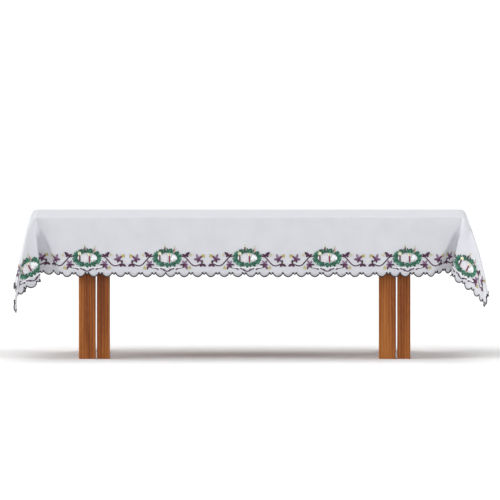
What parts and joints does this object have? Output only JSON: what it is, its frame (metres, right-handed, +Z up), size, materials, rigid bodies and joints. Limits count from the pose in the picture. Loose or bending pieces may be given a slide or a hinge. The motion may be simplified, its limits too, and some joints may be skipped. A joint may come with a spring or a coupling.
{
  "type": "altar frontal cloth on altar table",
  "caption": "Embroidered altar cloth with a scalloped hem, hanging over all sides of a plain wooden altar table and falling in folded ears at its corners.",
  "frame": {"origin": "on the floor, under the middle of the whole outline", "axes": "+X along the table, -Y towards the front, +Z up"},
  "size_m": [2.4566, 1.4954, 0.7323],
  "materials": {
    "linen": "plain woven, matt",
    "stained_wood": "stained and waxed, satin"
  },
  "bodies": {
    "root": {"altar_cloth": "linen", "table_top": "stained_wood", "post_front_left_wide": "stained_wood", "post_front_left_narrow": "stained_wood", "post_front_right_wide": "stained_wood", "post_front_right_narrow": "stained_wood", "post_back_left_wide": "stained_wood", "post_back_left_narrow": "stained_wood", "post_back_right_wide": "stained_wood", "post_back_right_narrow": "stained_wood", "rail_across_left_wide": "stained_wood", "rail_across_left_narrow": "stained_wood", "rail_across_right_wide": "stained_wood", "rail_across_right_narrow": "stained_wood", "rail_front": "stained_wood", "rail_back": "stained_wood"}
  },
  "joints": []
}
